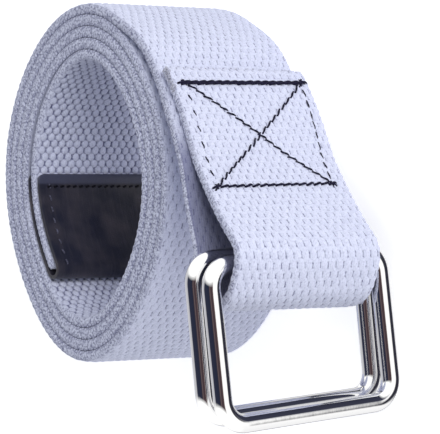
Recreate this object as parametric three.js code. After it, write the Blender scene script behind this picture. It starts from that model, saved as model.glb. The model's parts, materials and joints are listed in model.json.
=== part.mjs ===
// A canvas belt with two wire rings, rolled up and lying on its side. Millimetres, +Z up.
// The webbing stands on its long edge: its inner end, with a folded leather tip, is coiled in the
// middle, and its outer end leaves the coil, passes round the bars of the two rings and is folded
// back and sewn on itself. The origin is under the middle of the whole belt, on the floor.
import * as THREE from 'three';

// Webbing
const webbingWidth = 38;
const webbingThickness = 2.25;
const webbingEdgeRound = 0.45;
const turnGap = 0.42;
const plyGap = 0.3;

// Coil: half widths of its eye to the middle of the innermost turn, and how far it is wound
const coilHalfWidthX = 22.5;
const coilHalfWidthY = 28.5;
const coilWholeTurns = 4;
const coilStartAngle = 231.5;
const coilLeaveAngle = 47;
const coilLean = -0.55;
const coilEgg = 0.35;
const coilSquareness = 0.5;
const coilStepAngle = 7.5;
const lastTurnLooseness = 1.9;
const lastTurnLooseShare = 0.12;
const tipBlendTurns = 0.4;

// Straight run that leaves the coil, its direction counted from -Y towards +X
const runLength = 32;
const runAngle = 42.8;
const foldBackLength = 24;
const runSteps = 5;
const foldSteps = 6;

// Leather tip, folded over the inner end of the webbing
const leatherThickness = 1.1;
const leatherLength = 23.8;
const leatherWidth = webbingWidth;
const fitGap = 0.36;
const tipSteps = 12;
const tipFoldSteps = 8;

// Wire rings
const ringWire = 4.1;
const ringInsideLength = 40.8;
const ringInsideHeight = 29.1;
const ringCornerRadius = 5.2;
const ringTilt = 4.1;
const frontRingAngle = 8;
const backRingAngle = 7;
const ringSideGap = 1.9;
const wireSides = 16;
const cornerSteps = 7;

// Loop round the ring bars, and how far the webbing edge is held up by the ring wire under it
const barClearance = 0.5;
const barReach = 24.6;
const barOffset = 0.1;
const barLineAngle = -5.5;
const loopSlack = 5;
const loopSteps = 44;
const loopLead = 4;
const crestRow = 7;
const edgeLift = 7;
const liftLength = 52;

// Where the webbing passes the bars: the bar it is seen from, the direction from that bar in
// degrees from +X, and the slack there as a share of loopSlack
const loopRoute = [
  { bar: 'back', direction: 166, slack: 0.22 },
  { bar: 'back', direction: 212, slack: 0.42 },
  { bar: 'back', direction: 252, slack: 1.12 },
  { bar: 'front', direction: 252, slack: 1.45 },
  { bar: 'front', direction: 282, slack: 0.85 },
  { bar: 'front', direction: 314, slack: 0.27 },
  { bar: 'front', direction: 345, slack: 0.16 },
  { bar: 'front', direction: 35, slack: 0.22 },
  { bar: 'front', direction: 88, slack: 0.42 },
];

const materials = {
  webbing: new THREE.MeshStandardMaterial({ color: 0xd9daea, roughness: 0.95, metalness: 0 }),
  leather: new THREE.MeshStandardMaterial({ color: 0x20222c, roughness: 0.5, metalness: 0 }),
  chrome: new THREE.MeshStandardMaterial({ color: 0xd8d9de, roughness: 0.12, metalness: 1 }),
};

const coilPitch = webbingThickness + turnGap;
const coilTurns = coilWholeTurns + (coilStartAngle - coilLeaveAngle) / 360;
const leatherTurns = leatherLength / (Math.PI * (coilHalfWidthX + coilHalfWidthY));
const leatherInset = leatherThickness + 2 * fitGap - turnGap;
const barSpacing = ringWire + ringSideGap;
const loopRadius = ringWire / 2 + barClearance + webbingThickness / 2;

const quarterTurn = 90;
const radians = (degrees) => THREE.MathUtils.degToRad(degrees);

function smoothShare(value) {
  return THREE.MathUtils.smoothstep(value, 0, 1);
}

// Unit vector at an angle counted from -Y towards +X
function headingVector(degrees) {
  return new THREE.Vector2(Math.sin(radians(degrees)), -Math.cos(radians(degrees)));
}

// Unit vector at an angle counted from +X
function polarVector(degrees) {
  return new THREE.Vector2(Math.cos(radians(degrees)), Math.sin(radians(degrees)));
}

// Point on the middle of the webbing after so many turns from the inner end
function coilPoint(turns) {
  const angle = radians(coilStartAngle - 360 * turns);
  const shape = coilLean * Math.sin(2 * angle) + coilEgg * Math.sin(3 * angle)
    + coilSquareness * Math.cos(4 * angle);
  const tipInset = leatherInset * (1 - smoothShare((turns - leatherTurns) / tipBlendTurns));
  const looseness = lastTurnLooseness * smoothShare((turns - coilTurns) / lastTurnLooseShare + 1);
  const growth = coilPitch * turns + shape - tipInset + looseness;
  return new THREE.Vector2(
    (coilHalfWidthX + growth) * Math.cos(angle),
    (coilHalfWidthY + growth) * Math.sin(angle),
  );
}

function coilPoints() {
  const steps = Math.round(coilTurns * 360 / coilStepAngle);
  return Array.from({ length: steps + 1 }, (_, index) => coilPoint(coilTurns * index / steps));
}

// Places of the straight run and of the two bars that the loop holds
function runFrame() {
  const start = coilPoint(coilTurns);
  const along = headingVector(runAngle);
  const out = new THREE.Vector2(-along.y, along.x);
  const end = start.clone().addScaledVector(along, runLength);
  return { start, end, along, out };
}

function barCentres() {
  const { end, along, out } = runFrame();
  const middle = end.clone().addScaledVector(along, barReach).addScaledVector(out, barOffset);
  const across = polarVector(barLineAngle);
  return {
    back: middle.clone().addScaledVector(across, -barSpacing / 2),
    front: middle.clone().addScaledVector(across, barSpacing / 2),
  };
}

function evenPoints(from, to, steps) {
  return Array.from({ length: steps }, (_, index) => from.clone().lerp(to, (index + 1) / steps));
}

// Middle line of the webbing from the inner end to the cut end, with the place on it of the
// point beside the back bar and of the crest over the front bar
function webbingRoute() {
  const { start, end, along, out } = runFrame();
  const bars = barCentres();
  const beside = loopRoute.map((row) => bars[row.bar].clone()
    .addScaledVector(polarVector(row.direction), loopRadius + row.slack * loopSlack));
  const foldStart = end.clone().addScaledVector(out, webbingThickness + plyGap);
  const leadIn = end.clone().addScaledVector(along, -loopLead);
  const leadOut = foldStart.clone().addScaledVector(along, -loopLead);
  const curve = new THREE.SplineCurve([leadIn, end, ...beside, foldStart, leadOut]);
  const knots = curve.points.length;
  const loop = [];
  for (let index = 0; index <= loopSteps; index += 1) {
    const share = (1 + (knots - 3) * index / loopSteps) / (knots - 1);
    loop.push(curve.getPoint(share));
  }
  const foldEnd = foldStart.clone().addScaledVector(along, -foldBackLength);
  const points = [
    ...coilPoints(),
    ...evenPoints(start, end, runSteps).slice(0, -1),
    ...loop,
    ...evenPoints(foldStart, foldEnd, foldSteps),
  ];
  const nearest = (target) => points.reduce(
    (best, point, index) => (point.distanceTo(target) < points[best].distanceTo(target) ? index : best), 0);
  return { points, innerAnchor: nearest(beside[0]), outerAnchor: nearest(beside[crestRow]) };
}

function pathLengths(points) {
  const lengths = [0];
  for (let index = 1; index < points.length; index += 1) {
    lengths.push(lengths[index - 1] + points[index].distanceTo(points[index - 1]));
  }
  return lengths;
}

// Unit normals of a flat path, to the left of its direction, averaged over both neighbours
function pathNormals(points) {
  return points.map((point, index) => {
    const before = points[Math.max(index - 1, 0)];
    const after = points[Math.min(index + 1, points.length - 1)];
    const along = after.clone().sub(before).normalize();
    return new THREE.Vector2(-along.y, along.x);
  });
}

// Height of the lower webbing edge at each point: on the floor in the coil, lifted in the loop
function edgeHeights({ points, innerAnchor, outerAnchor }) {
  const lengths = pathLengths(points);
  return lengths.map((length) => {
    const before = lengths[innerAnchor] - length;
    const after = length - lengths[outerAnchor];
    return edgeLift * (1 - smoothShare(Math.max(before, after, 0) / liftLength));
  });
}

// Closed body through sections of equal point counts, each section a loop of Vector3 that runs
// anticlockwise when seen against the direction of travel
function loftGeometry(sections, closed = false) {
  const count = sections[0].length;
  const positions = sections.flat().flatMap((point) => [point.x, point.y, point.z]);
  const indices = [];
  const bands = closed ? sections.length : sections.length - 1;
  for (let band = 0; band < bands; band += 1) {
    const here = band * count;
    const next = ((band + 1) % sections.length) * count;
    for (let side = 0; side < count; side += 1) {
      const other = (side + 1) % count;
      indices.push(here + side, here + other, next + other, here + side, next + other, next + side);
    }
  }
  if (!closed) {
    const last = (sections.length - 1) * count;
    for (let side = 1; side < count - 1; side += 1) {
      indices.push(0, side + 1, side, last, last + side, last + side + 1);
    }
  }
  const geometry = new THREE.BufferGeometry();
  geometry.setAttribute('position', new THREE.Float32BufferAttribute(positions, 3));
  geometry.setIndex(indices);
  geometry.computeVertexNormals();
  return geometry;
}

// Corner points of the webbing section: across its thickness and up its width
function webbingSection() {
  const half = webbingThickness / 2;
  const inset = webbingEdgeRound;
  return [
    [half, inset], [half, webbingWidth - inset], [half - inset, webbingWidth], [inset - half, webbingWidth],
    [-half, webbingWidth - inset], [-half, inset], [inset - half, 0], [half - inset, 0],
  ];
}

function webbingStrap() {
  const route = webbingRoute();
  const normals = pathNormals(route.points);
  const heights = edgeHeights(route);
  const section = webbingSection();
  const sections = route.points.map((point, index) => section.map(([across, up]) => new THREE.Vector3(
    point.x + normals[index].x * across,
    point.y + normals[index].y * across,
    heights[index] + up,
  )));
  const mesh = new THREE.Mesh(loftGeometry(sections), materials.webbing);
  mesh.name = 'webbing_strap';
  return mesh;
}

// Leather folded over the inner end, as a U seen from above
function leatherTip() {
  const points = Array.from(
    { length: tipSteps + 1 }, (_, index) => coilPoint(leatherTurns * index / tipSteps));
  const normals = pathNormals(points);
  const inner = webbingThickness / 2 + fitGap;
  const outer = inner + leatherThickness;
  const offsetLine = (distance) => points.map(
    (point, index) => point.clone().addScaledVector(normals[index], distance));
  const endDirection = points[0].clone().sub(points[1]).normalize();
  const foldArc = (radius) => {
    return Array.from({ length: tipFoldSteps - 1 }, (_, index) => {
      const turn = Math.PI * (index + 1) / tipFoldSteps;
      return points[0].clone()
        .addScaledVector(normals[0], radius * Math.cos(turn))
        .addScaledVector(endDirection, fitGap + radius * Math.sin(turn));
    });
  };
  const shape = new THREE.Shape([
    ...offsetLine(outer).reverse(), ...foldArc(outer), ...offsetLine(-outer),
    ...offsetLine(-inner).reverse(), ...foldArc(inner).reverse(), ...offsetLine(inner),
  ]);
  const geometry = new THREE.ExtrudeGeometry(shape, { depth: leatherWidth, bevelEnabled: false });
  geometry.translate(0, 0, (webbingWidth - leatherWidth) / 2);
  const mesh = new THREE.Mesh(geometry, materials.leather);
  mesh.name = 'leather_tip';
  return mesh;
}

// Middle line of a ring wire in its own plane: x along the bars, y away from the held bar
function ringOutline() {
  const halfLength = (ringInsideLength + ringWire) / 2;
  const height = ringInsideHeight + ringWire;
  const corners = [
    { x: halfLength, y: 0 }, { x: halfLength, y: height },
    { x: -halfLength, y: height }, { x: -halfLength, y: 0 },
  ];
  return corners.flatMap(({ x, y }, corner) => {
    const centreX = x - Math.sign(x) * ringCornerRadius;
    const centreY = y === 0 ? ringCornerRadius : y - ringCornerRadius;
    return Array.from({ length: cornerSteps }, (_, index) => {
      const ray = polarVector(quarterTurn * (corner - 1 + index / (cornerSteps - 1)));
      return new THREE.Vector2(centreX + ringCornerRadius * ray.x, centreY + ringCornerRadius * ray.y);
    });
  });
}

function ringGeometry() {
  const outline = ringOutline();
  const sections = outline.map((point, index) => {
    const before = outline[(index + outline.length - 1) % outline.length];
    const after = outline[(index + 1) % outline.length];
    const along = after.clone().sub(before).normalize();
    return Array.from({ length: wireSides }, (_, side) => {
      const ray = polarVector(360 * (side + 0.5) / wireSides).multiplyScalar(ringWire / 2);
      return new THREE.Vector3(point.x - along.y * ray.x, point.y + along.x * ray.x, ray.y);
    });
  });
  return loftGeometry(sections, true);
}

// A ring stands on the lower outer corner of its wire. Its held bar lies in the loop, and it leans
// a little in its own plane, so that its free bar is nearer the floor than the loop is.
function wireRing(name, bar, angle) {
  const mesh = new THREE.Mesh(ringGeometry(), materials.chrome);
  mesh.name = name;
  const away = headingVector(angle);
  const lean = radians(ringTilt);
  const upAxis = new THREE.Vector3(away.x * Math.sin(lean), away.y * Math.sin(lean), Math.cos(lean));
  const outAxis = new THREE.Vector3(away.x * Math.cos(lean), away.y * Math.cos(lean), -Math.sin(lean));
  const sideAxis = new THREE.Vector3().crossVectors(upAxis, outAxis);
  const turn = new THREE.Matrix4().makeBasis(upAxis, outAxis, sideAxis);
  mesh.quaternion.setFromRotationMatrix(turn);
  mesh.position.set(bar.x, bar.y, 0);
  mesh.updateMatrixWorld(true);
  mesh.position.z = -new THREE.Box3().setFromObject(mesh, true).min.z;
  mesh.updateMatrixWorld(true);
  return mesh;
}

function rolledBelt() {
  const bars = barCentres();
  const belt = new THREE.Group();
  belt.add(webbingStrap());
  belt.add(leatherTip());
  belt.add(wireRing('ring_front', bars.front, frontRingAngle));
  belt.add(wireRing('ring_back', bars.back, backRingAngle));
  const box = new THREE.Box3().setFromObject(belt, true);
  const middle = box.getCenter(new THREE.Vector3());
  belt.position.set(-middle.x, -middle.y, -box.min.z);
  return belt;
}

export default rolledBelt();
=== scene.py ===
"""Looks of a rolled canvas belt with two wire rings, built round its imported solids.

The webbing stands on its long edge. Its inner end, with a leather tip, is coiled in the middle, and
its outer end passes round the bars of the rings and is folded back and sewn on itself. Sizes in the
classes are in millimetres, as in the part's source; every finished mesh is in metres.
"""
import json
import logging
import math
from dataclasses import dataclass, field
from enum import Enum

import bpy
import numpy as np
from mathutils import Matrix, Vector


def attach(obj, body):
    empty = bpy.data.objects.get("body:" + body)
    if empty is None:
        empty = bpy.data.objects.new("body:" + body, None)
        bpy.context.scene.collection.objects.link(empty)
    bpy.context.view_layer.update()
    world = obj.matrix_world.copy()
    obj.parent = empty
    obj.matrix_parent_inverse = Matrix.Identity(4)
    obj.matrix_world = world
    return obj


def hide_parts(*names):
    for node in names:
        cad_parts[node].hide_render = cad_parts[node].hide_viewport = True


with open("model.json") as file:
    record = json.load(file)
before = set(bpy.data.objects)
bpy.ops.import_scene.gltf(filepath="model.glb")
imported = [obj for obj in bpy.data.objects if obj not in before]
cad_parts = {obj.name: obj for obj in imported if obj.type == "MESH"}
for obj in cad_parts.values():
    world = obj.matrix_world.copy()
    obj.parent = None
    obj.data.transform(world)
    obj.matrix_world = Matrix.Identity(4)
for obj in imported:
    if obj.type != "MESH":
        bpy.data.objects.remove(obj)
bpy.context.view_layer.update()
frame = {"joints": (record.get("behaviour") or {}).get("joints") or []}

MM = 0.001
LOG = logging.getLogger("belt")

Socket = bpy.types.NodeSocket
Colour = tuple[float, float, float, float]
Range = tuple[float, float]


# Node trees


class Graph:
    """Short way to write a node tree: each call adds one node and returns what it gives."""

    def __init__(self, tree: bpy.types.NodeTree) -> None:
        """Keeps the tree that the calls add to."""
        self.tree = tree

    def node(self, kind: str, inputs: dict | None = None, **settings: object) -> bpy.types.Node:
        """Adds a node.

        Args:
            kind: Blender's name of the node type.
            inputs: value or socket for each input, by its name or its number.
            settings: properties of the node.

        Returns:
            The new node.
        """
        made = self.tree.nodes.new(kind)
        for name, value in settings.items():
            setattr(made, name, value)
        for key, value in (inputs or {}).items():
            if isinstance(value, bpy.types.NodeSocket):
                self.tree.links.new(value, made.inputs[key])
            else:
                made.inputs[key].default_value = value
        return made

    def attribute(self, name: str, output: str = "Fac") -> Socket:
        """Adds an Attribute node and returns one of its outputs."""
        return self.node("ShaderNodeAttribute", attribute_name=name).outputs[output]

    def math(self, operation: str, *values: object) -> Socket:
        """Adds a Math node and returns its result."""
        return self.node("ShaderNodeMath", dict(enumerate(values)), operation=operation).outputs[0]

    def product(self, first: object, second: object) -> Socket:
        """Adds a Math node that multiplies and returns its result."""
        return self.math("MULTIPLY", first, second)

    def scale(self, vector: Socket, factor: object) -> Socket:
        """Adds a Vector Math node that scales a vector, and returns the result."""
        made = self.node("ShaderNodeVectorMath", {0: vector, "Scale": factor}, operation="SCALE")
        return made.outputs[0]

    def mix(self, factor: object, first: object, second: object) -> Socket:
        """Adds a Mix node between two colours and returns the result."""
        made = self.node("ShaderNodeMix", data_type="RGBA")
        for key, value in ((0, factor), (6, first), (7, second)):
            if isinstance(value, bpy.types.NodeSocket):
                self.tree.links.new(value, made.inputs[key])
            else:
                made.inputs[key].default_value = value
        return made.outputs[2]

    def ramp(self, value: Socket, reach: Range) -> Socket:
        """Adds a Map Range node from the two ends of reach to 0..1, clamped, and returns the result."""
        made = self.node("ShaderNodeMapRange", {0: value, 1: reach[0], 2: reach[1]}, clamp=True)
        return made.outputs[0]

    def bump(self, shader: bpy.types.Node, height: Socket, strength: float, depth: float) -> None:
        """Adds a Bump node and links it to the shader."""
        made = self.node("ShaderNodeBump", {"Height": height, "Strength": strength, "Distance": depth})
        self.tree.links.new(made.outputs[0], shader.inputs["Normal"])

    def noise(self, vector: Socket, scale: float, detail: float = 2.0) -> Socket:
        """Adds a Noise Texture and returns its value."""
        made = self.node("ShaderNodeTexNoise", {"Vector": vector, "Scale": scale, "Detail": detail})
        return made.outputs[0]


def new_shader(name: str) -> tuple[bpy.types.Material, Graph, bpy.types.Node]:
    """Makes a material with one Principled shader.

    Args:
        name: the material's name.

    Returns:
        The material, its graph and the shader node.
    """
    material = bpy.data.materials.new(name)
    material.use_nodes = True
    graph = Graph(material.node_tree)
    return material, graph, material.node_tree.nodes["Principled BSDF"]


def set_inputs(node: bpy.types.Node, values: dict[str, object]) -> None:
    """Sets plain values on a node's own sockets, by name."""
    for name, value in values.items():
        node.inputs[name].default_value = value


# The cloth's pattern


def bead_hollow(graph: Graph, across: object, along: object, sizes: tuple) -> Socket:
    """How far each place is from the middle of its yarn bead, over two interleaved grids of beads.

    Args:
        graph: the tree's graph.
        across: place across the cloth in millimetres.
        along: place along the cloth in millimetres.
        sizes: spacing across and along, half widths of a bead across and along, and its slant, each
            a number or a socket.

    Returns:
        The socket that carries the squared share: 0 in the middle of a bead and 1 at its rim.
    """
    width, length, half_width, half_length, slant = sizes
    grids = []
    for shift in (0.0, 0.5):
        share = graph.math("ADD", graph.math("DIVIDE", along, length), shift)
        ahead = graph.math("MULTIPLY", graph.math("SUBTRACT", share, graph.math("ROUND", share)), length)
        leaned = graph.math("SUBTRACT", across, graph.math("MULTIPLY", ahead, slant))
        share = graph.math("ADD", graph.math("DIVIDE", leaned, width), shift)
        beside = graph.math("MULTIPLY", graph.math("SUBTRACT", share, graph.math("ROUND", share)), width)
        squares = []
        for offset, half in ((beside, half_width), (ahead, half_length)):
            reach = graph.math("DIVIDE", offset, half)
            squares.append(graph.math("MULTIPLY", reach, reach))
        grids.append(graph.math("ADD", *squares))
    return graph.math("MINIMUM", *grids)


@dataclass(frozen=True)
class BeadSizes:
    """Yarn beads of one face of the cloth: spacings, half widths and slant."""

    width: float
    length: float
    half_width: float
    half_length: float
    slant: float = 0.0

    def row(self) -> tuple[float, float, float, float, float]:
        """The sizes in the order that bead_hollow reads."""
        return self.width, self.length, self.half_width, self.half_length, self.slant


@dataclass(frozen=True)
class ClothFace:
    """One face of the cloth: its beads and their height, and the painted shade in its creases.

    The crease range is in shares of a bead's reach, from where the crease starts to its darkest.
    """

    name: str
    beads: BeadSizes
    height: float
    crease_range: Range
    crease_depth: float


# The inner face, inside the coil, carries wider and darker painted crease shade than the outer face.
OUTER_FACE = ClothFace(
    "cotton_outer_face", BeadSizes(width=2.06, length=4.05, half_width=1.05, half_length=1.62, slant=0.06),
    height=0.50, crease_range=(0.66, 0.98), crease_depth=0.95)
INNER_FACE = ClothFace(
    "cotton_inner_face", BeadSizes(width=2.15, length=3.30, half_width=1.00, half_length=1.12),
    height=0.62, crease_range=(0.55, 1.02), crease_depth=1.0)
SELVAGE = BeadSizes(width=1.3, length=2.0, half_width=0.72, half_length=0.72, slant=0.2)


# Finishes


@dataclass(frozen=True)
class WebbingFinish:
    """Undyed cotton webbing: pale yarn beads, fine fibres and curly edges, with painted shade in the
    creases, towards the corners of the edges and inside the loop.

    Scales are for a pattern on millimetres of cloth. A range is the two values of a pattern between
    which it goes from nothing to full, and a depth is how much of the darker colour then shows.
    """

    yarn: Colour = (0.66, 0.685, 0.83, 1.0)
    crease_shade: Colour = (0.085, 0.09, 0.20, 1.0)
    speck: Colour = (0.32, 0.33, 0.48, 1.0)
    grain_scale: float = 2.3
    grain_range: Range = (0.48, 0.70)
    grain_depth: float = 0.46
    edge_grain_depth: float = 0.34
    raggedness: float = 0.45
    clump_scale: float = 0.55
    clump_range: Range = (0.44, 0.72)
    clump_depth: float = 0.16
    broken_range: Range = (0.35, 0.65)
    broken_depth: float = 0.5
    relief_range: Range = (0.0, 0.5)
    fibre_period: float = 0.42
    fibre_angle: float = 0.30
    fibre_range: Range = (0.55, 1.0)
    fibre_depth: float = 0.14
    wave_scale: float = 0.314
    curl_scale: float = 1.25
    curl_range: Range = (0.17, 0.03)
    curl_grain_range: Range = (0.36, 0.56)
    curl_depth: float = 0.72
    selvage_range: Range = (0.72, 1.05)
    selvage_depth: float = 0.42
    rim_shade_range: Range = (0.55, 0.95)
    dot_range: Range = (0.25, 0.60)
    loop_shade_depth: float = 0.72
    fibre_height: float = 0.40
    crease_height: float = -1.2
    bump_strength: float = 0.9
    bump_depth: float = 0.00009

    def material(self, face: ClothFace) -> bpy.types.Material:
        """Makes the webbing's material.

        Args:
            face: the face of the cloth that shows.

        Returns:
            The material.
        """
        material, graph, shader = new_shader(face.name)
        cloth = graph.attribute("cloth", "Vector")
        edge = graph.attribute("edge")
        grain = graph.noise(cloth, self.grain_scale, 3.0)
        clumps = graph.noise(cloth, self.clump_scale, 2.0)
        fibres = self._fibres(graph, cloth)
        face_crease = self._face_creases(graph, cloth, grain, clumps, face)
        edge_crease = graph.product(self._edge_creases(graph, cloth, grain), edge)
        depth = graph.math("MINIMUM", graph.math("ADD", face_crease, edge_crease), 1.0)
        grain_depth = graph.math("MULTIPLY_ADD", edge, self.edge_grain_depth, self.grain_depth)
        fibre_depth = graph.math("MULTIPLY_ADD", edge, -self.fibre_depth, self.fibre_depth)
        # Specks, clumps and fibres are the yarn's own tone; the last two layers are painted shade, in the
        # creases and edge lines and inside the loop.
        layers = (
            (graph.product(graph.ramp(grain, self.grain_range), grain_depth), self.speck),
            (graph.product(graph.ramp(clumps, self.clump_range), self.clump_depth), self.speck),
            (graph.product(graph.ramp(fibres, self.fibre_range), fibre_depth), self.speck),
            (depth, self.crease_shade),
            # Painted shade inside the loop round the ring bars, in the crease shade colour.
            (graph.product(graph.attribute("soiled"), self.loop_shade_depth), self.crease_shade),
        )
        tint = self.yarn
        for share, colour in layers:
            tint = graph.mix(share, tint, colour)
        graph.tree.links.new(tint, shader.inputs["Base Color"])
        set_inputs(shader, {"Roughness": 0.95, "Specular IOR Level": 0.12, "Sheen Weight": 0.12,
                            "Sheen Roughness": 0.7})
        height = graph.math("MULTIPLY_ADD", fibres, self.fibre_height, grain)
        height = graph.math("MULTIPLY_ADD", depth, self.crease_height, height)
        graph.bump(shader, height, self.bump_strength, self.bump_depth)
        return material

    def _fibres(self, graph: Graph, cloth: Socket) -> Socket:
        """Fine slanted fibres of the twisted yarn."""
        turned = graph.node("ShaderNodeMapping", {"Vector": cloth, "Rotation": (0.0, 0.0, self.fibre_angle)})
        return graph.node("ShaderNodeTexWave", {
            "Vector": turned.outputs[0], "Scale": self.wave_scale / self.fibre_period,
            "Distortion": 2.0, "Detail": 2.0, "Detail Scale": 1.6,
        }, wave_type="BANDS", bands_direction="X").outputs["Fac"]

    def _face_creases(self, graph: Graph, cloth: Socket, grain: Socket, clumps: Socket,
                      face: ClothFace) -> Socket:
        """Painted shade in broken creases between the beads of a face."""
        up, along, _ = graph.node("ShaderNodeSeparateXYZ", {0: cloth}).outputs
        hollow = bead_hollow(graph, up, along, face.beads.row())
        ragged = graph.math("MULTIPLY_ADD", graph.math("SUBTRACT", grain, 0.5), self.raggedness, hollow)
        crease_shade = graph.product(graph.ramp(ragged, face.crease_range),
                               graph.ramp(graph.attribute("relief"), self.relief_range))
        broken = graph.math("MULTIPLY_ADD", graph.ramp(clumps, self.broken_range), self.broken_depth,
                            1.0 - self.broken_depth)
        return graph.product(graph.product(crease_shade, broken), face.crease_depth)

    def _edge_creases(self, graph: Graph, cloth: Socket, grain: Socket) -> Socket:
        """Curly dark specks and lines between the yarns on the webbing's edges, partly yarn texture and
        partly painted shade, with painted shade towards the corners of each rounded edge.
        """
        _, along, place = graph.node("ShaderNodeSeparateXYZ", {0: cloth}).outputs
        selvage = bead_hollow(graph, place, along, SELVAGE.row())
        curls = graph.node("ShaderNodeTexVoronoi", {
            "Vector": cloth, "Scale": self.curl_scale, "Randomness": 1.0,
        }, feature="DISTANCE_TO_EDGE").outputs[0]
        curl = graph.product(graph.ramp(curls, self.curl_range), graph.ramp(grain, self.curl_grain_range))
        lines = graph.math("MAXIMUM", graph.product(curl, self.curl_depth),
                           graph.product(graph.ramp(selvage, self.selvage_range), self.selvage_depth))
        # Painted shade towards the corners of the rounded edge, where it meets the faces and the next turn,
        # broken up by the yarn dots.
        rim_shade = graph.ramp(graph.math("ABSOLUTE", place), self.rim_shade_range)
        return graph.math("MAXIMUM", lines, graph.product(rim_shade, graph.ramp(selvage, self.dot_range)))


@dataclass(frozen=True)
class ThreadFinish:
    """Sewing thread of two twisted plies."""

    name: str
    tint: Colour
    roughness: float = 0.7
    fibre_scale: float = 2600.0
    fibre_range: Range = (0.35, 0.65)
    shade_share: float = 0.35
    bump_depth: float = 0.00006

    def material(self) -> bpy.types.Material:
        """Makes the thread's material."""
        material, graph, shader = new_shader(self.name)
        fibres = graph.noise(graph.node("ShaderNodeTexCoord").outputs["Object"], self.fibre_scale, 2.0)
        shade = tuple(value * self.shade_share for value in self.tint[:3]) + (1.0,)
        tint = graph.mix(graph.ramp(fibres, self.fibre_range), shade, self.tint)
        graph.tree.links.new(tint, shader.inputs["Base Color"])
        set_inputs(shader, {"Roughness": self.roughness, "Specular IOR Level": 0.2})
        graph.bump(shader, fibres, 0.5, self.bump_depth)
        return material


@dataclass(frozen=True)
class LeatherFinish:
    """Smooth black leather with fine wrinkles, a worn brownish middle and a painted highlight along the hem.
    """

    dark: Colour = (0.010, 0.011, 0.024, 1.0)
    worn: Colour = (0.046, 0.040, 0.050, 1.0)
    hem_highlight: Colour = (0.052, 0.055, 0.092, 1.0)
    hem: float = 2.6
    hem_fade: float = 0.6
    pore_scale: float = 1.7
    pore_depth: float = 0.16
    wrinkle_stretch: tuple[float, float, float] = (1.5, 0.16, 1.0)
    wrinkle_scale: float = 0.8
    wrinkle_range: Range = (0.52, 0.66)
    wrinkle_depth: float = 0.35
    wrinkle_height: float = 0.9
    cloud_scale: float = 0.12
    cloud_range: Range = (0.40, 0.68)
    roughness: float = 0.52
    cloud_roughness: float = -0.3
    bump_depth: float = 0.00025

    def material(self) -> bpy.types.Material:
        """Makes the leather's material."""
        material, graph, shader = new_shader("black_leather")
        place = graph.node("ShaderNodeUVMap", uv_map="weave").outputs[0]
        pores = graph.node("ShaderNodeTexVoronoi", {
            "Vector": place, "Scale": self.pore_scale, "Randomness": 0.9,
        }, feature="DISTANCE_TO_EDGE").outputs[0]
        drawn = graph.node("ShaderNodeMapping", {"Vector": place, "Scale": self.wrinkle_stretch})
        wrinkles = graph.noise(drawn.outputs[0], self.wrinkle_scale, 4.0)
        clouds = graph.noise(place, self.cloud_scale, 3.0)
        tint = graph.mix(graph.ramp(clouds, self.cloud_range), self.dark, self.worn)
        wrinkled = graph.product(graph.ramp(wrinkles, self.wrinkle_range), self.wrinkle_depth)
        tint = graph.mix(wrinkled, tint, self.worn)
        along = graph.node("ShaderNodeSeparateXYZ", {0: place}).outputs[1]
        # Painted highlight: a lighter, bluer band within the hem's width from the inner leg's open edge.
        tint = graph.mix(graph.ramp(along, (self.hem, self.hem - self.hem_fade)), tint, self.hem_highlight)
        graph.tree.links.new(tint, shader.inputs["Base Color"])
        rough = graph.math("MULTIPLY_ADD", clouds, self.cloud_roughness, self.roughness)
        graph.tree.links.new(rough, shader.inputs["Roughness"])
        height = graph.math("ADD", graph.math("MINIMUM", pores, self.pore_depth),
                            graph.product(wrinkles, self.wrinkle_height))
        graph.bump(shader, height, 0.5, self.bump_depth)
        return material


@dataclass(frozen=True)
class ChromeFinish:
    """Bright plate on drawn wire, with faint handling marks."""

    tint: Colour = (0.90, 0.90, 0.91, 1.0)
    mark_scale: float = 330.0
    haze_scale: float = 90.0
    haze_range: Range = (0.45, 0.8)
    roughness: float = 0.03
    haze_roughness: float = 0.05
    bump_depth: float = 0.00020

    def material(self) -> bpy.types.Material:
        """Makes the chrome's material."""
        material, graph, shader = new_shader("bright_chrome")
        place = graph.node("ShaderNodeTexCoord").outputs["Object"]
        marks = graph.noise(place, self.mark_scale, 3.0)
        haze = graph.ramp(graph.noise(place, self.haze_scale, 3.0), self.haze_range)
        set_inputs(shader, {"Base Color": self.tint, "Metallic": 1.0})
        rough = graph.math("MULTIPLY_ADD", haze, self.haze_roughness, self.roughness)
        graph.tree.links.new(rough, shader.inputs["Roughness"])
        graph.bump(shader, marks, 0.10, self.bump_depth)
        return material


# The webbing's course


def smooth_share(value: np.ndarray) -> np.ndarray:
    """Smooth step from 0 at 0 to 1 at 1."""
    value = np.clip(value, 0.0, 1.0)
    return value * value * (3.0 - 2.0 * value)


def heading(degrees: float) -> np.ndarray:
    """Unit vector at an angle counted from -Y towards +X."""
    return np.array([math.sin(math.radians(degrees)), -math.cos(math.radians(degrees))])


def polar(degrees: float) -> np.ndarray:
    """Unit vector at an angle counted from +X."""
    return np.array([math.cos(math.radians(degrees)), math.sin(math.radians(degrees))])


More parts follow.
